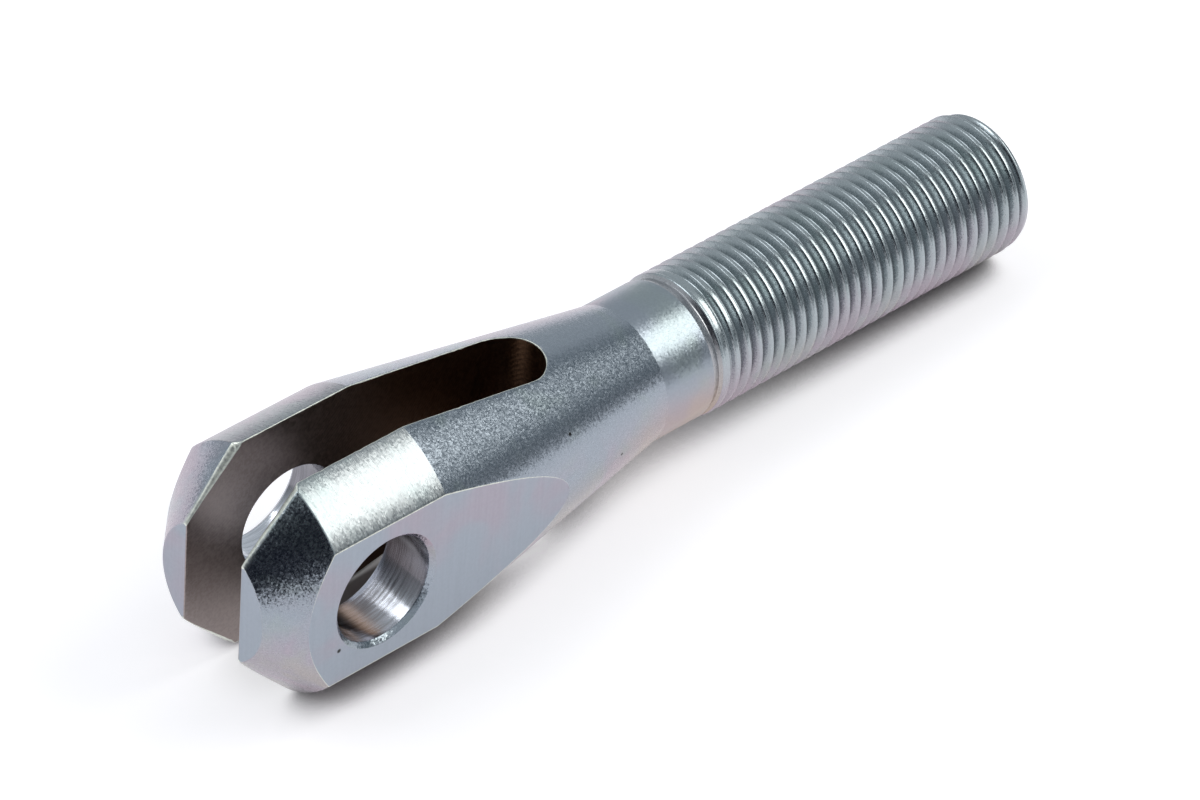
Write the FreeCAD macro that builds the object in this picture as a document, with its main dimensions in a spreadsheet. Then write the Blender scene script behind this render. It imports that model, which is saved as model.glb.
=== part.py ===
import FreeCAD, Part
import os

import Sketcher

# Clevis rod end, turned and milled from one steel bar.
# The origin is the pin hole's centre. The pin hole runs along Y, the slot between the ears is
# open above and below (Z), and the threaded shank points along +X. Sizes are millimetres.

os.makedirs("parts", exist_ok=True)
doc = FreeCAD.newDocument("clevis_rod_end")

# Driving dimensions: name, size, what it is
SIZES = [
    ("pin_diameter", 9.525, "clevis pin that goes through both ears"),
    ("pin_clearance", 0.075, "pin hole diameter less pin diameter"),
    ("countersink_width", 0.4, "radial width of the countersink in each side flat"),
    ("tongue_thickness", 6.35, "lever that sits between the ears"),
    ("tongue_clearance", 0.05, "slot width less tongue thickness"),
    ("throat_reach", 23.15, "pin axis to the round end of the slot"),
    ("nose_reach", 10.65, "pin axis to the front face"),
    ("nose_cone_length", 4.95, "turned cone behind the front face, along the axis"),
    ("nose_cone_width", 4.85, "barrel radius less front face radius"),
    ("barrel_diameter", 21.6, "full turned diameter beside the pin hole"),
    ("barrel_reach", 5.8, "pin axis to the start of the taper"),
    ("flat_depth", 2.35, "how deep each side flat is milled into the barrel"),
    ("taper_length", 26.75, "barrel to neck"),
    ("neck_length", 5.3, "plain shank between taper and relief groove"),
    ("neck_step", 0.12, "crest radius of the thread less neck radius"),
    ("relief_depth", 0.6, "crest radius of the thread less groove radius"),
    ("relief_slope", 0.75, "sloped side of the groove, along the axis"),
    ("relief_floor", 0.1, "floor of the groove, along the axis"),
    ("thread_lead", 0.25, "groove floor up to the first crest, along the axis"),
    ("thread_diameter", 12.7, "over the crests of the thread"),
    ("thread_length", 36.15, "first crest to the end face"),
    ("end_chamfer_length", 0.9, "chamfer round the end face, along the axis"),
    ("end_chamfer_width", 0.3, "crest radius less end face radius"),
    ("edge_break", 0.45, "deburring chamfer along the slot's edges on the nose cone"),
    ("cutter_overrun", 1.0, "how far a milling cut runs past the metal"),
]

sheet = doc.addObject("Spreadsheet::Sheet", "sizes")
for row, (alias, number, purpose) in enumerate(SIZES, start=1):
    sheet.set(f"A{row}", purpose)
    sheet.set(f"B{row}", str(number))
    sheet.setAlias(f"B{row}", alias)
doc.recompute()

# Places on a line or arc, the X axis and the origin, as sketch constraints number them
START_INDEX = 1
END_INDEX = 2
CENTRE_INDEX = 3
X_AXIS_INDEX = -1
ORIGIN = (X_AXIS_INDEX, START_INDEX)

# Two places this near count as one
SAME_PLACE = 0.001


def size(alias):
    return float(sheet.get(alias))


def new_sketch(body, name, plane_role):
    sketch = body.newObject("Sketcher::SketchObject", name)
    plane = next(item for item in body.Origin.OriginFeatures if item.Role == plane_role)
    sketch.AttachmentSupport = [(plane, "")]
    sketch.MapMode = "FlatFace"
    return sketch


def add_line(sketch, start, end):
    return sketch.addGeometry(Part.LineSegment(FreeCAD.Vector(*start), FreeCAD.Vector(*end)))


def add_ring(sketch, corners):
    """Closed ring of lines; line i starts at corner i."""
    lines = [add_line(sketch, *pair) for pair in zip(corners, corners[1:] + corners[:1])]
    for line, following in zip(lines, lines[1:] + lines[:1]):
        sketch.addConstraint(Sketcher.Constraint("Coincident", line, END_INDEX, following, START_INDEX))
    return lines


def constrain(sketch, kind, *where):
    sketch.addConstraint(Sketcher.Constraint(kind, *where))


def dimension(sketch, name, kind, where, expression):
    """A driving distance, named in the sketch and bound to the spreadsheet."""
    number = sketch.addConstraint(Sketcher.Constraint(kind, *where, 1.0))
    sketch.renameConstraint(number, name)
    sketch.setExpression("Constraints." + name, expression)


def seed(sketch):
    """Solve once with every bound distance in place."""
    doc.recompute()
    if sketch.solve() != 0:
        raise ValueError(sketch.Name + " does not solve")


body = doc.addObject("PartDesign::Body", "clevis_rod_end")
body.Label = "clevis_rod_end"
body.Placement = FreeCAD.Placement()
doc.recompute()


# Turned blank: nose cone, barrel, taper, neck, relief groove and shank in one revolved profile
def turned_profile():
    sketch = new_sketch(body, "turned_profile", "XZ_Plane")
    barrel = size("barrel_diameter") / 2
    crest = size("thread_diameter") / 2
    neck = crest - size("neck_step")
    floor = crest - size("relief_depth")
    front = -size("nose_reach")
    taper_end = size("barrel_reach") + size("taper_length")
    neck_end = taper_end + size("neck_length")
    slope_end = neck_end + size("relief_slope")
    floor_end = slope_end + size("relief_floor")
    first_crest = floor_end + size("thread_lead")
    tip = first_crest + size("thread_length")
    bevel_start = tip - size("end_chamfer_length")
    ring = add_ring(sketch, [
        (front, 0, 0),
        (front, barrel - size("nose_cone_width"), 0),
        (front + size("nose_cone_length"), barrel, 0),
        (size("barrel_reach"), barrel, 0),
        (taper_end, neck, 0),
        (neck_end, neck, 0),
        (slope_end, floor, 0),
        (floor_end, floor, 0),
        (first_crest, crest, 0),
        (bevel_start, crest, 0),
        (tip, crest - size("end_chamfer_width"), 0),
        (tip, 0, 0),
    ])
    face, cone, outside, taper, shank, slope, groove, lead, crests, bevel, end, axis = ring
    for line in (face, end):
        constrain(sketch, "Vertical", line)
    for line in (outside, shank, groove, crests):
        constrain(sketch, "Horizontal", line)
    constrain(sketch, "PointOnObject", axis, START_INDEX, X_AXIS_INDEX)
    constrain(sketch, "PointOnObject", axis, END_INDEX, X_AXIS_INDEX)

    def along(name, line, expression):
        dimension(sketch, name, "DistanceX", (line, START_INDEX, line, END_INDEX), expression)

    def radius(name, line, expression):
        dimension(sketch, name, "DistanceY", (*ORIGIN, line, START_INDEX), expression)

    dimension(sketch, "nose_reach", "DistanceX", (face, START_INDEX, *ORIGIN), "sizes.nose_reach")
    dimension(sketch, "barrel_reach", "DistanceX", (*ORIGIN, outside, END_INDEX), "sizes.barrel_reach")
    along("nose_cone_length", cone, "sizes.nose_cone_length")
    along("taper_length", taper, "sizes.taper_length")
    along("neck_length", shank, "sizes.neck_length")
    along("relief_slope", slope, "sizes.relief_slope")
    along("relief_floor", groove, "sizes.relief_floor")
    along("thread_lead", lead, "sizes.thread_lead")
    along("end_chamfer_length", bevel, "sizes.end_chamfer_length")
    to_end_face = (crests, START_INDEX, bevel, END_INDEX)
    dimension(sketch, "thread_length", "DistanceX", to_end_face, "sizes.thread_length")
    radius("barrel_radius", outside, "sizes.barrel_diameter / 2")
    radius("neck_radius", shank, "sizes.thread_diameter / 2 - sizes.neck_step")
    radius("groove_radius", groove, "sizes.thread_diameter / 2 - sizes.relief_depth")
    radius("crest_radius", crests, "sizes.thread_diameter / 2")
    cone_rise = (cone, START_INDEX, cone, END_INDEX)
    dimension(sketch, "nose_cone_width", "DistanceY", cone_rise, "sizes.nose_cone_width")
    bevel_drop = (bevel, END_INDEX, bevel, START_INDEX)
    dimension(sketch, "end_chamfer_width", "DistanceY", bevel_drop, "sizes.end_chamfer_width")
    seed(sketch)
    return sketch


# One flat is milled along the head from the nose to the end of the taper
def flat_outline():
    sketch = new_sketch(body, "flat_outline", "XY_Plane")
    front = -size("nose_reach") - size("cutter_overrun")
    back = size("barrel_reach") + size("taper_length")
    flat = size("barrel_diameter") / 2 - size("flat_depth")
    outside = size("barrel_diameter") / 2 + size("cutter_overrun")
    ring = add_ring(sketch, [(front, flat, 0), (back, flat, 0), (back, outside, 0), (front, outside, 0)])
    inner, end, outer, start = ring
    for line in (inner, outer):
        constrain(sketch, "Horizontal", line)
    for line in (start, end):
        constrain(sketch, "Vertical", line)
    mouth = "sizes.nose_reach + sizes.cutter_overrun"
    runout = "sizes.barrel_reach + sizes.taper_length"
    level = "sizes.barrel_diameter / 2 - sizes.flat_depth"
    cut = "sizes.flat_depth + sizes.cutter_overrun"
    dimension(sketch, "front", "DistanceX", (inner, START_INDEX, *ORIGIN), mouth)
    dimension(sketch, "back", "DistanceX", (*ORIGIN, inner, END_INDEX), runout)
    dimension(sketch, "flat", "DistanceY", (*ORIGIN, inner, END_INDEX), level)
    dimension(sketch, "outside", "DistanceY", (inner, END_INDEX, outer, START_INDEX), cut)
    seed(sketch)
    return sketch


# The slot runs back from the nose to a full round end
def slot_outline():
    sketch = new_sketch(body, "slot_outline", "XY_Plane")
    front = -size("nose_reach") - size("cutter_overrun")
    half = (size("tongue_thickness") + size("tongue_clearance")) / 2
    centre = size("throat_reach") - half
    near_wall = add_line(sketch, (front, -half, 0), (centre, -half, 0))
    circle = Part.Circle(FreeCAD.Vector(centre, 0, 0), FreeCAD.Vector(0, 0, 1), half)
    quarter_turn = 1.5707963
    throat = sketch.addGeometry(Part.ArcOfCircle(circle, -quarter_turn, quarter_turn))
    far_wall = add_line(sketch, (centre, half, 0), (front, half, 0))
    mouth = add_line(sketch, (front, half, 0), (front, -half, 0))
    constrain(sketch, "Tangent", near_wall, END_INDEX, throat, START_INDEX)
    constrain(sketch, "Tangent", throat, END_INDEX, far_wall, START_INDEX)
    constrain(sketch, "Coincident", far_wall, END_INDEX, mouth, START_INDEX)
    constrain(sketch, "Coincident", mouth, END_INDEX, near_wall, START_INDEX)
    constrain(sketch, "Horizontal", near_wall)
    constrain(sketch, "Horizontal", far_wall)
    constrain(sketch, "Vertical", mouth)
    constrain(sketch, "PointOnObject", throat, CENTRE_INDEX, X_AXIS_INDEX)
    slot_width = "(sizes.tongue_thickness + sizes.tongue_clearance)"
    overrun = "sizes.nose_reach + sizes.cutter_overrun"
    centre_reach = "sizes.throat_reach - " + slot_width + " / 2"
    dimension(sketch, "width", "DistanceY", (near_wall, START_INDEX, far_wall, END_INDEX), slot_width)
    dimension(sketch, "front", "DistanceX", (mouth, END_INDEX, *ORIGIN), overrun)
    dimension(sketch, "centre", "DistanceX", (*ORIGIN, throat, CENTRE_INDEX), centre_reach)
    seed(sketch)
    return sketch


# The pin hole is centred on the origin, so its circle lies on the plane between the ears
def pin_outline():
    sketch = new_sketch(body, "pin_outline", "XZ_Plane")
    hole = (size("pin_diameter") + size("pin_clearance")) / 2
    circle = sketch.addGeometry(Part.Circle(FreeCAD.Vector(0, 0, 0), FreeCAD.Vector(0, 0, 1), hole))
    constrain(sketch, "Coincident", circle, CENTRE_INDEX, *ORIGIN)
    dimension(sketch, "diameter", "Diameter", (circle,), "sizes.pin_diameter + sizes.pin_clearance")
    seed(sketch)
    return sketch


def cut_through(name, sketch):
    """Pocket through everything, both ways from the sketch's plane."""
    before = body.Tip.Shape.Volume
    pocket = body.newObject("PartDesign::Pocket", name)
    pocket.Profile = sketch
    pocket.Type = "ThroughAll"
    pocket.Midplane = True
    doc.recompute()
    if pocket.Shape.Volume >= before:
        raise ValueError(name + " cuts nothing")
    return pocket


turned = body.newObject("PartDesign::Revolution", "turned_blank")
turned.Profile = turned_profile()
turned.ReferenceAxis = (turned.Profile[0], ["H_Axis"])
turned.Angle = 360
doc.recompute()

near_flat = cut_through("side_flat", flat_outline())
middle_plane = next(item for item in body.Origin.OriginFeatures if item.Role == "XZ_Plane")
both_flats = body.newObject("PartDesign::Mirrored", "both_flats")
both_flats.Originals = [near_flat]
both_flats.MirrorPlane = (middle_plane, [""])
body.Tip = both_flats
doc.recompute()

cut_through("clevis_slot", slot_outline())
cut_through("pin_hole", pin_outline())


def is_pin_rim(edge):
    """True for the pin hole's edges that lie on the two side flats."""
    flat = size("barrel_diameter") / 2 - size("flat_depth")
    hole = (size("pin_diameter") + size("pin_clearance")) / 2
    is_round = isinstance(edge.Curve, Part.Circle) and abs(edge.Curve.Radius - hole) < SAME_PLACE
    return is_round and abs(abs(edge.CenterOfMass.y) - flat) < SAME_PLACE


def is_cone_slot_edge(edge):
    """True for the slot's edges on the nose cone, above and below, on both ears."""
    wall = (size("tongue_thickness") + size("tongue_clearance")) / 2
    cone_start = -size("nose_reach")
    cone_end = cone_start + size("nose_cone_length")
    ends = [vertex.Point for vertex in edge.Vertexes]
    on_wall = all(abs(abs(point.y) - wall) < SAME_PLACE for point in ends)
    span = sorted(point.x for point in ends)
    return on_wall and abs(span[0] - cone_start) < SAME_PLACE and abs(span[-1] - cone_end) < SAME_PLACE


def chamfer_edges(name, chosen, width):
    """Chamfer every edge of the body so far that the test chosen picks."""
    base = body.Tip
    edges = enumerate(base.Shape.Edges, start=1)
    names = [f"Edge{number}" for number, edge in edges if chosen(edge)]
    chamfer = body.newObject("PartDesign::Chamfer", name)
    chamfer.Base = (base, names)
    chamfer.setExpression("Size", width)
    base.Visibility = False
    body.Tip = chamfer
    doc.recompute()
    return names


# A countersink in each side flat, where the pin goes in and out
rims = chamfer_edges("countersinks", is_pin_rim, "sizes.countersink_width")

# The saw-cut slot is deburred where it crosses the nose cone
cone_edges = chamfer_edges("slot_deburring", is_cone_slot_edge, "sizes.edge_break")
if len(rims) != 2 or len(cone_edges) != 4:
    raise ValueError("the edges to chamfer were not found")

# Check every object, then write the part
for item in doc.Objects:
    if "Invalid" in item.State or "Error" in item.State:
        raise ValueError(item.Name + " is in error")
if body.Shape.isNull() or not body.Shape.isValid() or len(body.Shape.Solids) != 1:
    raise ValueError("clevis_rod_end is not one valid solid")

body.Shape.exportStep("parts/clevis_rod_end.step")
print("clevis_rod_end volume mm3", round(body.Shape.Volume, 1))
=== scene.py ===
import math

import bmesh
import bpy
from mathutils import Matrix, Quaternion, Vector, noise
from mathutils.geometry import delaunay_2d_cdt


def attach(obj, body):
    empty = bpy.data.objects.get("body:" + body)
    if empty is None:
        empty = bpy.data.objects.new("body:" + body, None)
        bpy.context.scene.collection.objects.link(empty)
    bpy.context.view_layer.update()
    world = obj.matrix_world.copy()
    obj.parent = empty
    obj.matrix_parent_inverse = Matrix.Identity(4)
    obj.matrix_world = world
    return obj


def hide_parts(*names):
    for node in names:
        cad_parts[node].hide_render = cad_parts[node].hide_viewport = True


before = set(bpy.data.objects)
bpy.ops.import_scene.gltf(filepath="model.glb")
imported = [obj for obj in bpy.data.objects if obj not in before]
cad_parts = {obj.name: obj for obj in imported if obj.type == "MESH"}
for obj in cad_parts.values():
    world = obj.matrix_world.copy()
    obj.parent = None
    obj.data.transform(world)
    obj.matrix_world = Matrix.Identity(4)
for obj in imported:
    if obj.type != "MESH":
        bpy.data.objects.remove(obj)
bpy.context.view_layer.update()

# Lengths of the part in millimetres, as in the CAD solid.
MM = 0.001
FRONT_X, FRONT_R = -10.65, 5.95
CONE_X, BARREL_R = -5.70, 10.80
BARREL_X = 5.80
TAPER_X, NECK_R = 32.55, 6.23
NECK_X = 37.85
SLOPE_X, GROOVE_R = 38.60, 5.98
FLOOR_X = 38.70
LAND_X, CREST_R = 38.95, 6.35
CHAMFER_X = 74.20
END_X, END_R = 75.10, 6.05
SLOT_HALF, SLOT_CENTRE = 3.20, 19.95
FLAT_Y = 8.45
PIN_R, SINK_R, SINK_DEPTH = 4.80, 5.20, 0.40

# Between these two stations a slot wall or a side flat is one plate with a hole in it.
PLATE_LOW, PLATE_HIGH = -5.6, 5.4
# From the slot's end centre to the last station that still has a broken slot edge.
SLOT_END_REACH = SLOT_HALF + 0.06

# The thread: half inch, 20 turns to the inch, left-hand. It starts at an angle round the shank.
PITCH = 1.27
THREAD_START = 38.838
THREAD_HAND = -1
START_DEGREES = -50.625
CREST_FLAT = 0.26
ROOT_R = 0.18
FLANK = math.tan(math.radians(60))
# The slope from the relief groove up to the thread begins at the first of these two stations.
# It leans with the thread's first turn, about the second.
LEAD_X = SLOPE_X + 0.04
LEAD_MIDDLE = 39.485

# How finely the surfaces are divided: counts, and the longest step along an outline (mm).
QUADRANT_STEPS = 32
RING_STEPS = 4 * QUADRANT_STEPS
WALL_STEPS = 24
BORE_STEPS = 96
SLOT_END_STEPS = 26
PROFILE_STEP, BORE_STEP = 0.40, 0.50

# Two lengths closer than this are the same (mm).
SAME = 1e-6


def blend(a, b, t):
    return a + (b - a) * t


def smooth(t):
    t = min(max(t, 0.0), 1.0)
    return t * t * (3.0 - 2.0 * t)


def wobble(x, y, z, scale):
    return noise.noise(Vector((x, y, z)) * scale)


class Skin:
    """Gathers the faces of the part, each with the finish it is to have: a name in MATERIALS."""

    def __init__(self):
        self.points = []
        self.faces = []
        self.finishes = []

    def point(self, x, y, z):
        self.points.append((x, y, z))
        return len(self.points) - 1

    def face(self, corners, finish):
        self.faces.append(corners)
        self.finishes.append(FINISHES.index(finish))

    def strip(self, first, second, finish):
        for a, b, c, d in zip(first, first[1:], second[1:], second):
            self.face((a, b, c, d), finish)

    def rows(self, rows, finish):
        for first, second in zip(rows, rows[1:]):
            self.strip(first, second, finish)


def rounded(corners, step):
    """A line with rounded corners, given as (place, radius, rounding). Its two ends stay out."""
    line = []
    arc_steps = 4
    for before, here, after in zip(corners, corners[1:], corners[2:]):
        p = Vector(here[:2])
        u = (Vector(before[:2]) - p).normalized()
        v = (Vector(after[:2]) - p).normalized()
        turn = math.pi - u.angle(v)
        reach = here[2] * math.tan(turn / 2)
        start, end = p + u * reach, p + v * reach
        if line:
            last = Vector(line[-1])
            count = max(1, round((start - last).length / step))
            for i in range(1, count):
                line.append(tuple(last.lerp(start, i / count)))
        for i in range(arc_steps + 1):
            t = i / arc_steps
            a, b = start.lerp(p, t), p.lerp(end, t)
            line.append(tuple(a.lerp(b, t)))
    return line


def profile_line():
    """The turned outline from the front face to the thread's first land."""
    corners = [
        (FRONT_X, 0.0, 0.0),
        (FRONT_X, FRONT_R, 0.16),
        (CONE_X, BARREL_R, 0.22),
        (BARREL_X, BARREL_R, 0.60),
        (TAPER_X, NECK_R, 0.50),
        (NECK_X, NECK_R, 0.05),
        (SLOPE_X, GROOVE_R, 0.10),
        (FLOOR_X, GROOVE_R, 0.05),
        (LAND_X, CREST_R, 0.22),
        (LAND_X + 0.5, CREST_R, 0.0),
    ]
    return rounded(corners, PROFILE_STEP)


PROFILE = profile_line()


def radius_at(x):
    for (x0, r0), (x1, r1) in zip(PROFILE, PROFILE[1:]):
        if x0 <= x <= x1 and x1 > x0:
            return blend(r0, r1, (x - x0) / (x1 - x0))
    return CREST_R


def crossing(radius, x_low, x_high):
    """Where the outline passes a radius between two stations."""
    rising = radius_at(x_high) > radius_at(x_low)
    for _ in range(50):
        middle = (x_low + x_high) / 2
        if (radius_at(middle) < radius) == rising:
            x_low = middle
        else:
            x_high = middle
    return (x_low + x_high) / 2


FLAT_FRONT = crossing(FLAT_Y, FRONT_X + 0.5, CONE_X)
FLAT_REAR = crossing(FLAT_Y, BARREL_X + 1.0, TAPER_X - 1.0)


def head_stations():
    """Places along the head where its cross sections are taken, as (x, radius)."""
    crowd = [0.0, 0.02, 0.06, 0.13, 0.24, 0.40]
    special = [FLAT_FRONT + d for d in crowd] + [FLAT_REAR - d for d in crowd]
    special += [PLATE_LOW, PLATE_HIGH]
    slot_end = []
    for i in range(SLOT_END_STEPS + 1):
        slot_end.append(SLOT_CENTRE + SLOT_END_REACH * i / SLOT_END_STEPS)
    special += slot_end
    kept = [(x, radius_at(x)) for x in special]
    for x, r in PROFILE:
        if x > TAPER_X - 1.0:
            continue
        near = min(abs(x - s) for s in special)
        in_slot_end = SLOT_CENTRE < x < slot_end[-1] + 0.2
        if (near > 0.06 or abs(x - CONE_X) < 0.3) and not in_slot_end:
            kept.append((x, r))
    # The first two stations share the front face's x, so the order by radius matters.
    kept.sort(key=lambda p: (round(p[0], 6), p[1]))
    return kept


STATIONS = head_stations()
FRONT_ROUND = 0.10


def slot_half(x):
    """Half the slot's width, with its mouth rounded at the front face."""
    depth = x - FRONT_X
    if depth < FRONT_ROUND:
        rise = math.sqrt(max(FRONT_ROUND**2 - (FRONT_ROUND - depth) ** 2, 0.0))
        return SLOT_HALF + FRONT_ROUND - rise
    return SLOT_HALF


def edge_wear(x, y, z):
    """How far the slot's edge is broken and how round it is.

    On the cone it is a filed chamfer, and behind it a thin ragged burr.
    """
    ragged = 0.075 + 0.035 * wobble(x, y, z, 1.9) + 0.05 * max(wobble(x, y, z, 0.9), 0.0)
    nick = max(wobble(x, y, z, 3.1) - 0.34, 0.0)
    ragged += 0.25 * nick
    along = (x - FRONT_X) / (CONE_X - FRONT_X)
    filed = blend(0.25, 0.62, smooth(along)) + 0.03 * wobble(x, y, z, 1.2)
    fade = smooth((x - CONE_X - 0.05) / 0.35)
    wear = max(blend(filed, ragged, fade), 0.035)
    roundness = 1.0 if x > CONE_X + 0.2 else 0.25
    return wear, roundness


def bezier(a, b, c, t):
    return a.lerp(b, t).lerp(b.lerp(c, t), t)


def quadrant_section(x, r, side, top):
    """One station's points from the slot wall's rim round to the flat: three lists."""

    def outer_radius(place):
        """The outline's radius, or on the front face, where it has many, the station's own."""
        if x < FRONT_X + 0.001 or abs(place - x) < SAME:
            return r
        return radius_at(place)

    def placed(points):
        return [(p.x, side * p.y, top * p.z) for p in points]

    if x <= SLOT_CENTRE:
        wall_x, wall_y, out = x, slot_half(x), Vector((0, 1))
    else:
        reach = min((x - SLOT_CENTRE) / SLOT_END_REACH, 1.0)
        angle = math.pi / 2 * (1 - reach)
        out = Vector((math.cos(angle), math.sin(angle)))
        wall_x, wall_y = SLOT_CENTRE + SLOT_HALF * out.x, SLOT_HALF * out.y
    if x > SLOT_CENTRE + SLOT_END_REACH + 0.01:
        rim_x, rim_y = x, 0.0
        rim = []
    else:
        wear, roundness = edge_wear(wall_x, side * wall_y, top * BARREL_R)
        rim_x = wall_x + out.x * wear
        rim_y = wall_y + out.y * wear
        corner_z = math.sqrt(outer_radius(wall_x)**2 - wall_y**2)
        a = Vector((wall_x, wall_y, corner_z - wear * 1.1))
        b = Vector((wall_x, wall_y, corner_z))
        c = Vector((rim_x, rim_y, math.sqrt(outer_radius(rim_x)**2 - rim_y**2)))
        b = a.lerp(c, 0.5).lerp(b, roundness)
        rim = [bezier(a, b, c, t / 3) for t in range(4)]
    flat_end = math.pi / 2
    tuck = 0.0
    if r > FLAT_Y:
        edge = math.asin(FLAT_Y / r)
        tuck = 0.16 * math.tan((math.pi / 2 - edge) / 2)
        flat_end = edge - tuck / r
    arc = []
    for j in range(QUADRANT_STEPS + 1):
        t = j / QUADRANT_STEPS
        px = blend(rim_x, x, t)
        pr = outer_radius(px)
        start = math.asin(min(rim_y / pr, 1.0))
        theta = blend(start, flat_end, t)
        arc.append(Vector((px, pr * math.sin(theta), pr * math.cos(theta))))
    flat = [arc[-1]] * 3
    if r > FLAT_Y:
        high = math.sqrt(r * r - FLAT_Y**2)
        b = Vector((x, FLAT_Y, high))
        c = Vector((x, FLAT_Y, high - tuck))
        flat = [bezier(arc[-1], b, c, t / 2) for t in range(3)]
    return placed(rim), placed(arc), placed(flat)


def outer_finish(x):
    if x < CONE_X:
        return "cone"
    if x < BARREL_X:
        return "turned"
    return "grained"


def add_outside(skin):
    """The turned outside of the head and its broken edges. Returns the rims left open."""
    slot_rims, flat_rims = {}, {}
    for side in (-1, 1):
        for top in (-1, 1):
            sections = [quadrant_section(x, r, side, top) for x, r in STATIONS]
            slot_rims[side, top] = [s[0][0] for s in sections if s[0]]
            flat_rims[side, top] = [s[2][-1] for s in sections]
            for (x, _), one, two in zip(STATIONS, sections, sections[1:]):
                finish = outer_finish(x + 0.01)
                for part, part_finish in ((0, "edge"), (1, finish), (2, "edge")):
                    if not one[part] or not two[part]:
                        continue
                    first = [skin.point(*p) for p in one[part]]
                    second = [skin.point(*p) for p in two[part]]
                    skin.strip(first, second, part_finish)
    return slot_rims, flat_rims


def plate(skin, outline, hole, across, finish, inside):
    """A flat face with a round hole in it: outline and hole are (x, z) points, y is across."""
    flat = [Vector(p) for p in outline] + [Vector(p) for p in hole]
    n = len(outline)
    edges = [(i, (i + 1) % n) for i in range(n)]
    m = len(hole)
    edges += [(n + i, n + (i + 1) % m) for i in range(m)]
    points, _, faces, *_ = delaunay_2d_cdt(flat, edges, [], 0, 1e-6)
    index = [skin.point(p.x, across, p.y) for p in points]
    for f in faces:
        centre = sum((points[i] for i in f), Vector((0, 0))) / len(f)
        if inside(centre):
            skin.face(tuple(index[i] for i in f), finish)


def wall_columns(tops, bottoms):
    """Straight columns of points from each bottom point up to its top point."""
    columns = []
    for high, low in zip(tops, bottoms):
        column = []
        for k in range(WALL_STEPS + 1):
            t = k / WALL_STEPS
            column.append(tuple(blend(a, b, t) for a, b in zip(low, high)))
        columns.append(column)
    return columns


def add_panel(skin, tops, bottoms, hole_radius, across, finish):
    """A slot wall or side flat: straight columns, and between two of them a plate with a hole."""
    columns = wall_columns(tops, bottoms)
    xs = [c[0][0] for c in columns]
    low = min(range(len(xs)), key=lambda i: abs(xs[i] - PLATE_LOW))
    high = min(range(len(xs)), key=lambda i: abs(xs[i] - PLATE_HIGH))
    for part in (columns[: low + 1], columns[high:]):
        rows = [[skin.point(*p) for p in column] for column in part]
        skin.rows(rows, finish)
    outline = [(p[0], p[2]) for p in columns[low]]
    outline += [(c[-1][0], c[-1][2]) for c in columns[low + 1 : high]]
    outline += [(p[0], p[2]) for p in reversed(columns[high])]
    outline += [(c[0][0], c[0][2]) for c in reversed(columns[low + 1 : high])]
    hole = []
    for i in range(BORE_STEPS):
        angle = 2 * math.pi * i / BORE_STEPS
        hole.append((hole_radius * math.cos(angle), hole_radius * math.sin(angle)))
    reach = hole_radius * math.cos(math.pi / BORE_STEPS)

    def inside(p):
        if not xs[low] < p.x < xs[high] or p.length < reach:
            return False
        for k in range(low, high):
            if xs[k] <= p.x <= xs[k + 1]:
                t = (p.x - xs[k]) / (xs[k + 1] - xs[k])
                top = blend(columns[k][-1][2], columns[k + 1][-1][2], t)
                bottom = blend(columns[k][0][2], columns[k + 1][0][2], t)
                return bottom < p.y < top
        return False

    plate(skin, outline, hole, across, finish, inside)


def bore_line():
    """The bore's outline from the slot wall out to the side flat, as (y, radius)."""
    corners = [
        (SLOT_HALF, PIN_R + 1.0, 0.0),
        (SLOT_HALF, PIN_R, 0.07),
        (FLAT_Y - SINK_DEPTH, PIN_R, 0.12),
        (FLAT_Y, SINK_R, 0.10),
        (FLAT_Y, SINK_R + 1.0, 0.0),
    ]
    return rounded(corners, BORE_STEP)


def add_bores(skin):
    """The pin hole through each ear. Returns its radius in the slot wall and in the side flat."""
    line = bore_line()
    for side in (-1, 1):
        rows = []
        for y, r in line:
            row = []
            for i in range(BORE_STEPS + 1):
                angle = 2 * math.pi * (i % BORE_STEPS) / BORE_STEPS
                row.append(skin.point(r * math.cos(angle), side * y, r * math.sin(angle)))
            rows.append(row)
        sink = next(k for k, p in enumerate(line) if p[0] > FLAT_Y - SINK_DEPTH - 0.06)
        skin.rows(rows[: sink + 1], "bore")
        skin.rows(rows[sink:], "cone")
    return line[0][1], line[-1][1]


def add_front_faces(skin):
    """The two small faces at the front, one on each ear."""
    x, r = STATIONS[0]
    for side in (-1, 1):
        upper = quadrant_section(x, r, side, 1)
        lower = quadrant_section(x, r, side, -1)
        ring = upper[0] + upper[1][1:]
        ring += list(reversed(lower[0] + lower[1][1:-1]))
        low, high = lower[0][0], upper[0][0]
        for k in range(1, WALL_STEPS):
            t = k / WALL_STEPS
            ring.append(tuple(blend(a, b, t) for a, b in zip(low, high)))
        skin.face(tuple(skin.point(*p) for p in ring), "milled")


def ring_points(skin, x, r):
    row = []
    for i in range(RING_STEPS + 1):
        angle = 2 * math.pi * (i % RING_STEPS) / RING_STEPS
        row.append(skin.point(x, r * math.cos(angle), r * math.sin(angle)))
    return row


def add_neck(skin):
    """Full rings from the last head station to the relief groove. Returns the last ring's x."""
    stations = [STATIONS[-1]] + [p for p in PROFILE if p[0] > STATIONS[-1][0] + SAME]
    stations = [p for p in stations if p[0] < LEAD_X]
    rows = [ring_points(skin, x, r) for x, r in stations]
    for (x, _), one, two in zip(stations, rows, rows[1:]):
        if x < TAPER_X - 0.02:
            finish = "grained"
        elif x < NECK_X - 0.01:
            finish = "neck"
        else:
            finish = "relief"
        skin.strip(one, two, finish)
    return stations[-1][0]


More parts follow.
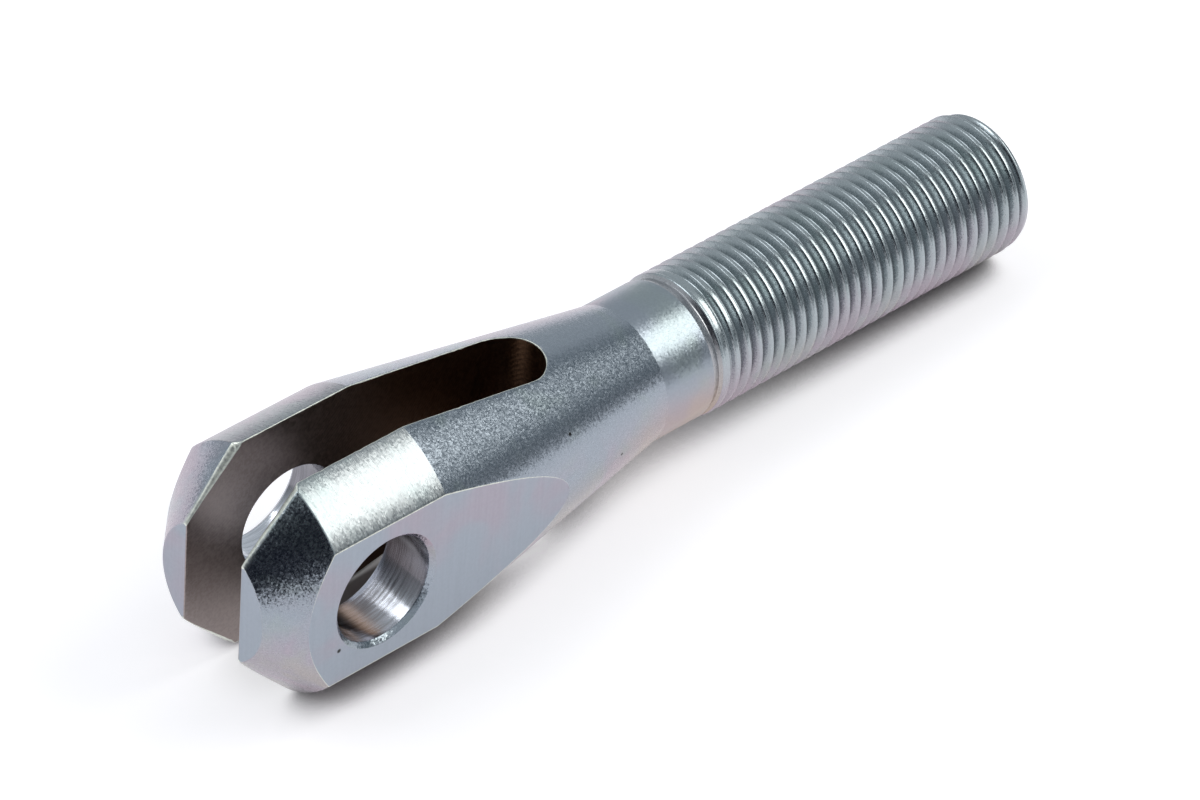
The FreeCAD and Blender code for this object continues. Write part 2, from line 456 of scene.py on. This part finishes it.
def thread_section(start, lift):
    """One pitch from crest centre to crest centre, as (x offset, depth below the crest).

    Lift is the depth that is missing where the thread runs in.
    """
    low = PITCH / 2 - ROOT_R * math.sin(math.radians(60))
    depth = (low - CREST_FLAT / 2) * FLANK + ROOT_R * 0.5
    lift = min(lift, depth)
    cut = smooth(1.0 - lift / depth)
    crest = min(CREST_FLAT / 2 + lift / FLANK, low - 0.06)
    soft = 0.030
    low_depth = max(depth - ROOT_R * 0.5 - lift, 0.0)
    side = [(crest - soft, 0.0), (crest + soft * 0.4, soft * 0.7 * cut)]
    side.append((crest + soft * 1.6, min(soft * 1.6 * FLANK, low_depth) * cut))
    side.append((blend(crest, low, 0.55), low_depth * 0.5))
    side.append((low, low_depth))
    for step in (30, 0):
        a = math.radians(step)
        drop = ROOT_R * (math.cos(a) - 0.5) if lift < depth else 0.0
        side.append((PITCH / 2 - ROOT_R * math.sin(a), low_depth + drop * cut))
    mirrored = [(PITCH - dx, d) for dx, d in reversed(side[:-1])]
    first = (0.0, seam_depth(start))
    last = (PITCH, seam_depth(start + PITCH))
    return [first] + side + mirrored + [last]


def seam_depth(x):
    """The faint seam that rolling leaves along the crest."""
    return 0.030 * smooth((x - LAND_X - 0.4) / 0.8)


def envelope(x):
    """The plain shank's radius, which the thread does not pass."""
    if x < LAND_X + 0.3:
        return radius_at(x)
    if x <= CHAMFER_X:
        return CREST_R
    return blend(CREST_R, END_R, (x - CHAMFER_X) / (END_X - CHAMFER_X))


def thread_lift(x, turn):
    """How much of the groove's depth is missing where the thread runs in."""
    start = 0.85 * (1.0 - smooth(turn / 0.26))
    shallow = 0.14 * (1.0 - smooth((x - 39.9) / 1.5)) + 0.05 * (1.0 - smooth((x - 40.0) / 6.0))
    return max(start, shallow)


def helix_angle(i):
    return math.radians(START_DEGREES) + THREAD_HAND * 2 * math.pi * i / RING_STEPS


# The lead's outline, with a shallow line scored just before the first land.
LEAD = [p for p in PROFILE if LEAD_X < p[0] <= LAND_X + 0.16]
LEAD += [(LAND_X + 0.18, CREST_R - 0.006), (LAND_X + 0.22, CREST_R - 0.026)]
LEAD += [(LAND_X + 0.26, CREST_R - 0.006), (LAND_X + 0.30, CREST_R)]
LEAD_FLOOR = sum(1 for x, r in LEAD if r < GROOVE_R + 0.05)


def crest_radius(x):
    return min(CREST_R - seam_depth(x), envelope(x))


def lead_column(skin, i, ring_x):
    """From the relief groove's floor up its lead to the first crest's centre line."""
    turn = i / RING_STEPS
    crest_x, angle = THREAD_START + PITCH * turn, helix_angle(i)
    lean = 0.45 * smooth(turn / 0.2) * (1.0 - smooth((turn - 0.76) / 0.22))
    shift = lean * (crest_x - LEAD_MIDDLE)
    line = [(ring_x, GROOVE_R)]
    for x, r in LEAD:
        line.append((x + shift, r) if x + shift < crest_x else (crest_x, crest_radius(crest_x)))
    line.append((crest_x, crest_radius(crest_x)))
    c, s = math.cos(angle), math.sin(angle)
    return [skin.point(x, r * c, r * s) for x, r in line]


def radius_on(line, x):
    """The radius where a polyline of (x, radius) passes x."""
    for (x0, r0), (x1, r1) in zip(line, line[1:]):
        if x0 <= x <= x1:
            return blend(r0, r1, (x - x0) / max(x1 - x0, 1e-9))
    return line[-1][1]


def add_thread(skin, ring_x):
    """The thread, column by column along its helix, cut off by the end face. Returns its rim."""
    total = int((END_X - THREAD_START) / PITCH * RING_STEPS)
    columns, rim = [], []
    for i in range(total + 1):
        angle = helix_angle(i)
        c, s = math.cos(angle), math.sin(angle)
        start = THREAD_START + PITCH * i / RING_STEPS
        lift = thread_lift(start + PITCH / 2, i / RING_STEPS)
        section = thread_section(start, lift)
        line = [(start + dx, min(CREST_R - depth, envelope(start + dx))) for dx, depth in section]
        if line[-1][0] > END_X:
            cut = radius_on(line, END_X)
            line = [(x, r) if x < END_X else (END_X, cut) for x, r in line]
            rim.append((cut * c, cut * s))
        columns.append([skin.point(x, r * c, r * s) for x, r in line])
    columns.append([skin.point(END_X, *rim[0]) for _ in columns[-1]])
    skin.rows(columns, "thread")

    lead = [lead_column(skin, i, ring_x) for i in range(RING_STEPS + 1)]
    skin.rows([column[: LEAD_FLOOR + 2] for column in lead], "relief")
    skin.rows([column[LEAD_FLOOR + 1 :] for column in lead], "thread")
    zipper(skin, lead[-1], lead[0] + columns[0][1:], "thread")
    return rim


def zipper(skin, left, right, finish):
    """Joins two edges that have different numbers of points with triangles."""
    i = j = 0
    while i < len(left) - 1 or j < len(right) - 1:
        a = skin.points[left[i]]
        b = skin.points[right[j]]
        step_left = j == len(right) - 1
        if not step_left and i < len(left) - 1:
            next_left = abs(skin.points[left[i + 1]][0] - b[0])
            next_right = abs(skin.points[right[j + 1]][0] - a[0])
            step_left = next_left < next_right
        if step_left:
            skin.face((left[i], left[i + 1], right[j]), finish)
            i += 1
        else:
            skin.face((left[i], right[j + 1], right[j]), finish)
            j += 1


def add_end_face(skin, rim):
    """The plain end face, in rings that shrink from the thread's rim."""
    rows = []
    for t in (1.0, 0.85, 0.6, 0.35, 0.12):
        row = [skin.point(END_X, y * t, z * t) for y, z in rim]
        rows.append(row + row[:1])
    skin.rows(rows, "milled")
    skin.face(tuple(rows[-1][:-1]), "milled")


def along_flat(rim):
    """The part of a rim that borders a side flat."""
    return [p for p in rim if FLAT_FRONT - SAME <= p[0] <= FLAT_REAR + SAME]


def build_part():
    skin = Skin()
    slot_rims, flat_rims = add_outside(skin)
    inner_r, outer_r = add_bores(skin)
    for side in (-1, 1):
        add_panel(skin, slot_rims[side, 1], slot_rims[side, -1], inner_r, side * SLOT_HALF, "slot")
        top, bottom = along_flat(flat_rims[side, 1]), along_flat(flat_rims[side, -1])
        add_panel(skin, top, bottom, outer_r, side * FLAT_Y, "milled")
    add_front_faces(skin)
    ring_x = add_neck(skin)
    add_end_face(skin, add_thread(skin, ring_x))

    mesh = bpy.data.meshes.new("clevis_body")
    mesh.from_pydata([Vector(p) * MM for p in skin.points], [], skin.faces)
    mesh.polygons.foreach_set("material_index", skin.finishes)
    work = bmesh.new()
    work.from_mesh(mesh)
    bmesh.ops.remove_doubles(work, verts=work.verts, dist=2e-7)
    bmesh.ops.dissolve_degenerate(work, edges=work.edges, dist=2e-8)
    bmesh.ops.recalc_face_normals(work, faces=work.faces)
    flat = (FINISHES.index("milled"), FINISHES.index("slot"))
    for f in work.faces:
        f.smooth = f.material_index not in flat
    open_edges = sum(1 for e in work.edges if len(e.link_faces) != 2)
    print("clevis_body faces", len(work.faces), "edges not shared by two faces", open_edges)
    work.to_mesh(mesh)
    work.free()
    return mesh


# The camera: angles in degrees, where it looks and how far it stands (mm), and its film.
CAMERA_AZIMUTH, CAMERA_ELEVATION, CAMERA_ROLL = -46.219, 38.481, 4.516
CAMERA_TARGET = (31.059, 0.0, -1.803)
CAMERA_DISTANCE = 529.83
CAMERA_LENS, CAMERA_SENSOR = 195.0, 36.0


def add_camera():
    azimuth, elevation = math.radians(CAMERA_AZIMUTH), math.radians(CAMERA_ELEVATION)
    roll = math.radians(CAMERA_ROLL)
    back = Vector((
        math.sin(azimuth) * math.cos(elevation),
        -math.cos(azimuth) * math.cos(elevation),
        math.sin(elevation),
    ))
    right = Vector((math.cos(azimuth), math.sin(azimuth), 0.0))
    up = back.cross(right)
    across = right * math.cos(roll) + up * math.sin(roll)
    above = up * math.cos(roll) - right * math.sin(roll)
    data = bpy.data.cameras.new("camera")
    data.sensor_width = CAMERA_SENSOR
    data.lens = CAMERA_LENS
    data.clip_start = 0.01
    data.clip_end = 20.0
    camera = bpy.data.objects.new("camera", data)
    turn = Matrix((across, above, back)).transposed().to_4x4()
    place = (Vector(CAMERA_TARGET) + back * CAMERA_DISTANCE) * MM
    camera.matrix_world = Matrix.Translation(place) @ turn
    bpy.context.scene.collection.objects.link(camera)
    bpy.context.scene.camera = camera


# Colours, as the plating shows them: linear red, green and blue.
ZINC = (0.325, 0.364, 0.412)
ZINC_BARREL = (0.350, 0.374, 0.385)
ZINC_THREAD = (0.385, 0.430, 0.450)
ZINC_FLAT = (0.348, 0.386, 0.440)
ZINC_PINK = (0.415, 0.345, 0.400)
ZINC_ORANGE = (0.490, 0.390, 0.335)
ZINC_GREEN = (0.325, 0.380, 0.385)
# The bore's wall: painted light, and painted shade on its side towards +X.
BORE_PAINTED_LIGHT = (0.640, 0.665, 0.720)
BORE_PAINTED_SHADE = (0.250, 0.245, 0.270)
# The slot's walls: grey near the front, and dark brown painted shade further in.
SLOT_GREY = (0.320, 0.272, 0.262)
SLOT_SHADE_BROWN = (0.150, 0.085, 0.050)
# Painted shade in the thread's roots.
ROOT_SHADE_COLOUR = (0.080, 0.090, 0.100)
RUBBED = (0.800, 0.820, 0.740)
RUBBED_DARK = (0.600, 0.620, 0.575)
RELIEF_GREY = (0.420, 0.430, 0.450)
PIT_DARK = (0.045, 0.045, 0.045)

# Pits in the plating: place and radius (mm).
FLAT_PITS = [((-4.81, -8.45, -3.50), 0.25)]
TAPER_PITS = [((20.61, -7.02, 4.37), 0.21), ((26.56, -7.23, -0.60), 0.18)]

# The bright worn band beside the slot on the cone: its distance from the middle plane (mm).
WORN_FULL, WORN_GONE, WORN_RAGGED = 3.45, 4.20, 0.60
# The painted shade in the thread's roots: full out to the first radius, gone at the second (mm).
ROOT_SHADE_FULL, ROOT_SHADE_GONE = 5.58, 6.06
# Where the axis of the slot's side cutter passed (mm). Its marks are rings round that place.
CUTTER_PLACE = (-22.0, 0.0, 34.0)


class Nodes:
    """The nodes of a material or world, with short calls to add and join them."""

    def __init__(self, owner, shader="Principled BSDF"):
        owner.use_nodes = True
        self.owner = owner
        self.tree = owner.node_tree
        self.shader = self.tree.nodes[shader]
        self.coordinates = self.add("ShaderNodeTexCoord")
        self.place = self.coordinates.outputs["Object"]
        self.way = self.coordinates.outputs["Normal"]

    def add(self, kind, **values):
        node = self.tree.nodes.new(kind)
        for key, value in values.items():
            setattr(node, key, value)
        return node

    def join(self, source, target):
        self.tree.links.new(source, target)

    def scaled(self, x, y=None, z=None):
        """The place on the part in millimetres, times a factor along each axis or one for all."""
        factors = (x, x, x) if y is None else (x, y, z)
        return self.vector("MULTIPLY", self.place, tuple(f / MM for f in factors))

    def noise(self, vector, detail=2.0, rough=0.5, distortion=0.0):
        node = self.add("ShaderNodeTexNoise")
        self.join(vector, node.inputs["Vector"])
        node.inputs["Scale"].default_value = 1.0
        node.inputs["Detail"].default_value = detail
        node.inputs["Roughness"].default_value = rough
        node.inputs["Distortion"].default_value = distortion
        return node.outputs["Fac"]

    def ramp(self, source, low, high, to_low=0.0, to_high=1.0, shape="SMOOTHSTEP"):
        node = self.add("ShaderNodeMapRange", interpolation_type=shape)
        self.join(source, node.inputs["Value"])
        node.inputs["From Min"].default_value = low
        node.inputs["From Max"].default_value = high
        node.inputs["To Min"].default_value = to_low
        node.inputs["To Max"].default_value = to_high
        return node.outputs["Result"]

    def math(self, operation, a, b):
        node = self.add("ShaderNodeMath", operation=operation)
        for socket, value in zip(node.inputs, (a, b)):
            if isinstance(value, (int, float)):
                socket.default_value = value
            else:
                self.join(value, socket)
        return node.outputs[0]

    def tint(self, factor, a, b, kind="MIX"):
        node = self.add("ShaderNodeMix", data_type="RGBA", blend_type=kind)
        if isinstance(factor, (int, float)):
            node.inputs["Factor"].default_value = factor
        else:
            self.join(factor, node.inputs["Factor"])
        for socket, value in ((node.inputs["A"], a), (node.inputs["B"], b)):
            if isinstance(value, tuple):
                socket.default_value = (*value, 1.0)
            else:
                self.join(value, socket)
        return node.outputs["Result"]

    def crystals(self, count_per_mm, tilt, normal=None):
        """Small facets, each tilted its own way, as plated zinc crystals are."""
        cells = self.add("ShaderNodeTexVoronoi")
        self.join(self.scaled(count_per_mm), cells.inputs["Vector"])
        cells.inputs["Scale"].default_value = 1.0
        centred = self.vector("SUBTRACT", cells.outputs["Color"], (0.5, 0.5, 0.5))
        lean = self.vector("MULTIPLY", centred, (tilt, tilt, tilt))
        surface = normal or self.add("ShaderNodeNewGeometry").outputs["Normal"]
        return self.vector("NORMALIZE", self.vector("ADD", surface, lean))

    def vector(self, operation, a, b=None):
        node = self.add("ShaderNodeVectorMath", operation=operation)
        self.join(a, node.inputs[0])
        if isinstance(b, (tuple, Vector)):
            node.inputs[1].default_value = b
        elif b is not None:
            self.join(b, node.inputs[1])
        gives_number = operation in ("DISTANCE", "DOT_PRODUCT")
        return node.outputs["Value" if gives_number else "Vector"]

    def bump(self, height, depth, under=None):
        node = self.add("ShaderNodeBump")
        node.inputs["Strength"].default_value = 1.0
        node.inputs["Distance"].default_value = depth * MM
        self.join(height, node.inputs["Height"])
        if under is not None:
            self.join(under, node.inputs["Normal"])
        return node.outputs["Normal"]

    def axis(self, letter, vector=None):
        node = self.add("ShaderNodeSeparateXYZ")
        self.join(vector or self.place, node.inputs[0])
        return node.outputs[letter.upper()]


def zinc(name):
    return Nodes(bpy.data.materials.new("zinc_" + name))


def plated(n, base=ZINC):
    """The zinc's colour: blue-grey with green clouds, and pink and orange clouds of the film,
    placed as a painted sheen where the surface faces down or towards +Y.
    """
    up = n.axis("z", n.way)
    cloud = n.noise(n.scaled(0.16), 3.0, 0.55, 0.4)
    green = n.ramp(n.noise(n.scaled(0.23, 0.11, 0.31), 3.0, 0.5, 0.3), 0.48, 0.70, 0.0, 0.7)
    colour = n.tint(green, base, ZINC_GREEN)
    # Painted sheen: pink where the surface faces down or towards +Y, orange where it faces down.
    below = n.ramp(up, -0.40, 0.50, 1.0, 0.0)
    aside = n.ramp(n.axis("y", n.way), 0.10, 0.65)
    pink_clouds = n.ramp(cloud, 0.38, 0.62, 0.15, 0.95)
    pink = n.math("MULTIPLY", n.math("MAXIMUM", below, aside), pink_clouds)
    colour = n.tint(pink, colour, ZINC_PINK)
    orange_clouds = n.ramp(cloud, 0.38, 0.56, 0.55, 0.0)
    orange = n.math("MULTIPLY", n.ramp(up, -0.60, 0.15, 1.0, 0.0), orange_clouds)
    return n.tint(orange, colour, ZINC_ORANGE)


def painted_orange_sheen(n, colour):
    """A painted orange sheen on the underside of the neck and of the taper's end."""
    under = n.ramp(n.axis("z", n.way), -0.35, 0.40, 0.85, 0.0)
    along = n.ramp(n.axis("x"), 24.0 * MM, 34.0 * MM)
    cloud = n.ramp(n.noise(n.scaled(0.22), 2.0, 0.5, 0.3), 0.30, 0.62, 0.45, 1.0)
    return n.tint(n.math("MULTIPLY", n.math("MULTIPLY", under, along), cloud), colour, ZINC_ORANGE)


def shaded(n, colour, pattern, low, high):
    """A colour times a grey that a pattern drives between two levels."""
    level = n.ramp(pattern, 0.32, 0.68, low, high)
    grey = n.add("ShaderNodeCombineXYZ")
    for socket in grey.inputs:
        n.join(level, socket)
    return n.tint(1.0, colour, grey.outputs[0], "MULTIPLY")


def pitted(n, colour, pits):
    """The colour with small dark pits in it, given as place and radius (mm)."""
    for place, radius in pits:
        distance = n.vector("DISTANCE", n.place, Vector(place) * MM)
        inside = n.ramp(distance, 0.5 * radius * MM, radius * MM, 1.0, 0.0)
        colour = n.tint(inside, colour, PIT_DARK)
    return colour


def metal(n, colour, rough, normal):
    n.shader.inputs["Metallic"].default_value = 1.0
    n.join(colour, n.shader.inputs["Base Color"])
    n.join(rough, n.shader.inputs["Roughness"])
    n.join(normal, n.shader.inputs["Normal"])
    return n.owner


def cone_metal():
    """Nose cone and countersinks: zinc crystals that sparkle, worn bright beside the slot."""
    n = zinc("cone")
    grain = n.noise(n.scaled(5.0), 2.0, 0.5)
    normal = n.crystals(8.5, 0.17)
    side = n.math("ABSOLUTE", n.axis("y"), 0.0)
    ragged = n.math("ADD", side, n.math("MULTIPLY", grain, WORN_RAGGED * MM))
    worn = n.ramp(ragged, WORN_FULL * MM, WORN_GONE * MM, 1.0, 0.0)
    rough = n.math("ADD", n.ramp(grain, 0.3, 0.7, 0.21, 0.29), n.math("MULTIPLY", worn, 0.26))
    colour = n.tint(worn, shaded(n, plated(n), grain, 0.95, 1.05), RUBBED)
    return metal(n, colour, rough, normal)


def turned_metal():
    """The barrel: fine turning marks, crossed by short streaks."""
    n = zinc("turned")
    marks = n.noise(n.scaled(7.0, 0.30, 0.30), 3.0, 0.7)
    normal = n.crystals(7.5, 0.09, n.bump(marks, 0.002))
    rough = n.ramp(marks, 0.3, 0.7, 0.26, 0.30)
    return metal(n, shaded(n, plated(n, ZINC_BARREL), marks, 0.86, 1.06), rough, normal)


def neck_metal():
    """The neck: a fine grain without turning marks, and a painted orange sheen below."""
    n = zinc("neck")
    grain = n.noise(n.scaled(5.0), 2.0, 0.5)
    normal = n.crystals(7.5, 0.09, n.bump(grain, 0.003))
    rough = n.ramp(grain, 0.3, 0.7, 0.30, 0.37)
    return metal(n, shaded(n, painted_orange_sheen(n, plated(n)), grain, 0.96, 1.04), rough, normal)


def grained_metal():
    """The taper: a sparkling grain of zinc crystals."""
    n = zinc("grained")
    grain = n.noise(n.scaled(5.0), 2.0, 0.5)
    normal = n.crystals(8.5, 0.085)
    rough = n.ramp(grain, 0.3, 0.7, 0.22, 0.29)
    # The taper's end gets the painted orange sheen on its underside.
    colour = shaded(n, painted_orange_sheen(n, plated(n)), grain, 0.95, 1.06)
    return metal(n, pitted(n, colour, TAPER_PITS), rough, normal)


def milled_metal():
    """Side flats and end faces: smooth, with faint straight cutter marks."""
    n = zinc("milled")
    marks = n.noise(n.scaled(4.0, 4.0, 0.12), 3.0, 0.6)
    grain = n.noise(n.scaled(4.0), 2.0, 0.5)
    normal = n.bump(grain, 0.004, n.bump(marks, 0.002))
    rough = n.ramp(grain, 0.3, 0.7, 0.34, 0.44)
    cloud = n.ramp(n.noise(n.scaled(0.13), 3.0, 0.5, 0.5), 0.45, 0.70, 0.0, 0.6)
    colour = shaded(n, n.tint(cloud, ZINC_FLAT, ZINC_PINK), marks, 0.98, 1.02)
    return metal(n, pitted(n, colour, FLAT_PITS), rough, normal)


def slot_metal():
    """The slot's walls: arcs of a side cutter, and painted shade, dark brown, that grows towards
    the slot's end.
    """
    n = zinc("slot")
    rings = n.add("ShaderNodeTexWave", wave_type="RINGS", rings_direction="Y")
    n.join(n.vector("SUBTRACT", n.scaled(1.0), CUTTER_PLACE), rings.inputs["Vector"])
    rings.inputs["Scale"].default_value = 1.1
    rings.inputs["Distortion"].default_value = 0.6
    rings.inputs["Detail"].default_value = 2.0
    grain = n.noise(n.scaled(4.2), 2.0, 0.5)
    normal = n.bump(grain, 0.008, n.bump(rings.outputs["Fac"], 0.005))
    # Painted shade: from grey near the front to dark brown further into the slot.
    slot_shade = n.ramp(n.axis("x"), -3.0 * MM, 12.0 * MM)
    colour = n.tint(slot_shade, SLOT_GREY, SLOT_SHADE_BROWN)
    colour = shaded(n, colour, grain, 0.88, 1.12)
    front = n.ramp(n.axis("x"), -4.0 * MM, 4.0 * MM, 0.16, 0.03)
    arcs = n.math("SUBTRACT", 1.0, n.math("MULTIPLY", rings.outputs["Fac"], front))
    colour = shaded(n, colour, arcs, 0.32, 1.0)
    rough = n.ramp(grain, 0.3, 0.7, 0.30, 0.42)
    return metal(n, colour, rough, normal)


def bore_metal():
    """The pin hole's wall: drill marks round it, which spread its shine, with painted light on it
    that fades to painted shade towards +X.
    """
    n = zinc("bore")
    marks = n.noise(n.scaled(0.25, 4.5, 0.25), 3.0, 0.65)
    normal = n.bump(marks, 0.006)
    rough = n.ramp(marks, 0.3, 0.7, 0.16, 0.24)
    around = n.add("ShaderNodeTangent", direction_type="RADIAL", axis="Y")
    n.join(around.outputs["Tangent"], n.shader.inputs["Tangent"])
    n.shader.inputs["Anisotropic"].default_value = 0.6
    n.shader.inputs["Anisotropic Rotation"].default_value = 0.25
    # Painted light on the bore's wall, fading to painted shade on its side towards +X.
    colour = n.tint(n.ramp(n.axis("x"), 3.0 * MM, 4.6 * MM), BORE_PAINTED_LIGHT, BORE_PAINTED_SHADE)
    return metal(n, shaded(n, colour, marks, 0.80, 1.15), rough, normal)


def thread_metal():
    """The rolled thread: smooth flanks with a fine grain, and painted shade in the roots, heaviest
    low on the shank.
    """
    n = zinc("thread")
    grain = n.noise(n.scaled(5.0), 2.0, 0.5)
    normal = n.crystals(8.5, 0.05)
    rough = n.ramp(grain, 0.3, 0.7, 0.21, 0.28)
    squares = [n.math("POWER", n.axis(letter), 2.0) for letter in "yz"]
    radius = n.math("SQRT", n.math("ADD", *squares), 0.0)
    # Painted shade in the roots, full low on the shank and weaker higher up.
    root_shade = n.ramp(radius, ROOT_SHADE_FULL * MM, ROOT_SHADE_GONE * MM, 1.0, 0.0)
    below = n.ramp(n.axis("z"), 1.0 * MM, 4.2 * MM, 1.0, 0.35)
    colour = shaded(n, plated(n, ZINC_THREAD), grain, 0.95, 1.05)
    colour = n.tint(n.math("MULTIPLY", root_shade, below), colour, ROOT_SHADE_COLOUR)
    return metal(n, colour, rough, normal)


def edge_metal():
    """Broken edges and burrs: rubbed metal, brighter and rougher."""
    n = zinc("edge")
    grain = n.noise(n.scaled(3.6), 3.0, 0.6)
    normal = n.bump(grain, 0.014)
    rough = n.ramp(grain, 0.3, 0.7, 0.36, 0.50)
    colour = n.tint(n.ramp(grain, 0.35, 0.6), RUBBED_DARK, RUBBED)
    return metal(n, colour, rough, normal)


def relief_metal():
    """The relief groove: dull, with a painted orange sheen below."""
    n = zinc("relief")
    grain = n.noise(n.scaled(6.5, 4.5, 4.5), 2.0, 0.5)
    normal = n.bump(grain, 0.009)
    rough = n.ramp(grain, 0.3, 0.7, 0.27, 0.36)
    # Painted sheen: orange where the groove faces down.
    below = n.ramp(n.axis("z", n.way), -0.5, 0.4, 1.0, 0.0)
    colour = n.tint(below, RELIEF_GREY, ZINC_ORANGE)
    return metal(n, shaded(n, colour, grain, 0.92, 1.06), rough, normal)


# The floor: its colour, how much it is lifted where it is seen, and the painted contact shadow.
FLOOR_COLOUR = (0.72, 0.70, 0.725)
FLOOR_LIFT = 0.52
FLOOR_HALF = 4.0
CONTACT_SHADOW_COLOUR = (0.20, 0.18, 0.18)
CONTACT_REACH = 5.0
# The floor touches the part at these two places, under the head and under the shank's end (mm).
REST_FRONT = Vector((5.80, 0.0, -10.32))
REST_REAR = Vector((74.20, 0.0, -6.36))


def outside_fork(n):
    """A mask for painted shade: 0 on the floor between the two ears, where the fork keeps the
    light out, and 1 elsewhere.
    """
    place = n.add("ShaderNodeNewGeometry").outputs["Position"]
    x = n.axis("x", place)
    side = n.math("ABSOLUTE", n.axis("y", place), 0.0)
    outside = n.math("MAXIMUM", n.ramp(side, 2.8 * MM, 4.2 * MM), n.ramp(x, 16.0 * MM, 22.0 * MM))
    return n.math("MAXIMUM", outside, n.ramp(x, 3.0 * MM, -2.0 * MM))


def seen_directly(n):
    """1 where the camera sees the floor, straight, in a mirror or through glass."""
    path = n.add("ShaderNodeLightPath")
    seen = n.math("MAXIMUM", path.outputs["Is Camera Ray"], path.outputs["Is Glossy Ray"])
    return n.math("MAXIMUM", seen, path.outputs["Is Transmission Ray"])


def floor_material():
    """Pale and dull, lifted towards white, with a painted contact shadow where the part is close
    above it.
    """
    n = Nodes(bpy.data.materials.new("floor"))
    n.shader.inputs["Roughness"].default_value = 0.9
    n.shader.inputs["Specular IOR Level"].default_value = 0.0
    n.shader.inputs["Emission Color"].default_value = (1.0, 1.0, 1.0, 1.0)
    occlusion = n.add("ShaderNodeAmbientOcclusion", samples=12)
    occlusion.inputs["Distance"].default_value = CONTACT_REACH * MM
    open_air = occlusion.outputs["AO"]
    outside = outside_fork(n)
    # Painted contact shadow: the lift and the colour both drop where the part is close above, and
    # under the fork.
    level = n.ramp(open_air, 0.28, 0.58, 0.0, FLOOR_LIFT, "LINEAR")
    lift = n.math("MULTIPLY", seen_directly(n), n.math("MULTIPLY", level, outside))
    n.join(lift, n.shader.inputs["Emission Strength"])
    clear = n.math("MULTIPLY", n.ramp(open_air, 0.18, 0.52, shape="LINEAR"), outside)
    n.join(n.tint(clear, CONTACT_SHADOW_COLOUR, FLOOR_COLOUR), n.shader.inputs["Base Color"])
    return n.owner


def add_floor():
    """A pale floor under the two places where the part rests."""
    along = (REST_REAR - REST_FRONT).normalized() * FLOOR_HALF
    across = Vector((0.0, 1.0, 0.0)) * FLOOR_HALF
    centre = REST_FRONT * MM
    corners = [centre + along * a + across * b for a, b in ((-1, -1), (1, -1), (1, 1), (-1, 1))]
    mesh = bpy.data.meshes.new("floor")
    mesh.from_pydata(corners, [], [(0, 1, 2, 3)])
    mesh.materials.append(floor_material())
    floor = bpy.data.objects.new("floor", mesh)
    bpy.context.scene.collection.objects.link(floor)


def direction(azimuth, elevation):
    """The way out from the part: azimuth from +X towards +Y, both angles in degrees."""
    a, e = math.radians(azimuth), math.radians(elevation)
    return Vector((math.cos(a) * math.cos(e), math.sin(a) * math.cos(e), math.sin(e)))


LAMP_CENTRE = Vector((30.0, 0.0, 0.0)) * MM


def add_softbox(name, azimuth, elevation, distance, wide, high, roll, radiance, colour):
    """An oblong lamp of a given brightness, facing the part from one side and turned by roll."""
    data = bpy.data.lights.new(name, "AREA")
    data.shape = "RECTANGLE"
    data.size = wide
    data.size_y = high
    data.energy = radiance * math.pi * wide * high
    data.color = colour
    lamp = bpy.data.objects.new(name, data)
    way = direction(azimuth, elevation)
    lamp.location = LAMP_CENTRE + way * distance
    lamp.rotation_mode = "QUATERNION"
    turn = Quaternion((0.0, 0.0, 1.0), math.radians(roll))
    lamp.rotation_quaternion = way.to_track_quat("Z", "Y") @ turn
    bpy.context.scene.collection.objects.link(lamp)


STUDIO = (0.56, 0.60, 0.63)
# Darker places in the studio: azimuth, elevation, full out to, gone at (degrees), colour.
DARK_PLACES = [
    (-160.0, 21.0, 22.0, 41.0, (0.006, 0.008, 0.018)),
    (-42.0, 8.0, 10.0, 32.0, (0.15, 0.17, 0.19)),
    (-10.0, 26.0, 16.0, 34.0, (0.17, 0.21, 0.24)),
]


def add_world():
    """A grey studio with soft darker places that the metal reflects."""
    n = Nodes(bpy.data.worlds.new("studio"), "Background")
    place = n.coordinates.outputs["Generated"]
    colour = STUDIO
    for azimuth, elevation, inner, outer, shade in DARK_PLACES:
        nearness = n.vector("DOT_PRODUCT", place, direction(azimuth, elevation))
        inside = n.ramp(nearness, math.cos(math.radians(outer)), math.cos(math.radians(inner)))
        colour = n.tint(inside, colour, shade)
    n.join(colour, n.shader.inputs["Color"])
    n.shader.inputs["Strength"].default_value = 1.0
    bpy.context.scene.world = n.owner


def add_light():
    add_world()
    add_softbox("key", -35.0, 48.0, 0.60, 0.42, 0.25, 40.0, 3.7, (1.0, 0.99, 0.94))
    add_softbox("rear", 138.0, 54.0, 0.80, 0.40, 0.36, 0.0, 3.0, (0.97, 0.98, 1.0))


MATERIALS = {
    "cone": cone_metal,
    "turned": turned_metal,
    "neck": neck_metal,
    "grained": grained_metal,
    "milled": milled_metal,
    "slot": slot_metal,
    "bore": bore_metal,
    "thread": thread_metal,
    "edge": edge_metal,
    "relief": relief_metal,
}
FINISHES = list(MATERIALS)


def add_body():
    body = bpy.data.objects.new("clevis_body", build_part())
    for finish in FINISHES:
        body.data.materials.append(MATERIALS[finish]())
    bpy.context.scene.collection.objects.link(body)
    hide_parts("clevis_rod_end")
    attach(body, "root")


add_body()
add_floor()
add_light()
add_camera()
bpy.context.scene.view_settings.view_transform = "Standard"
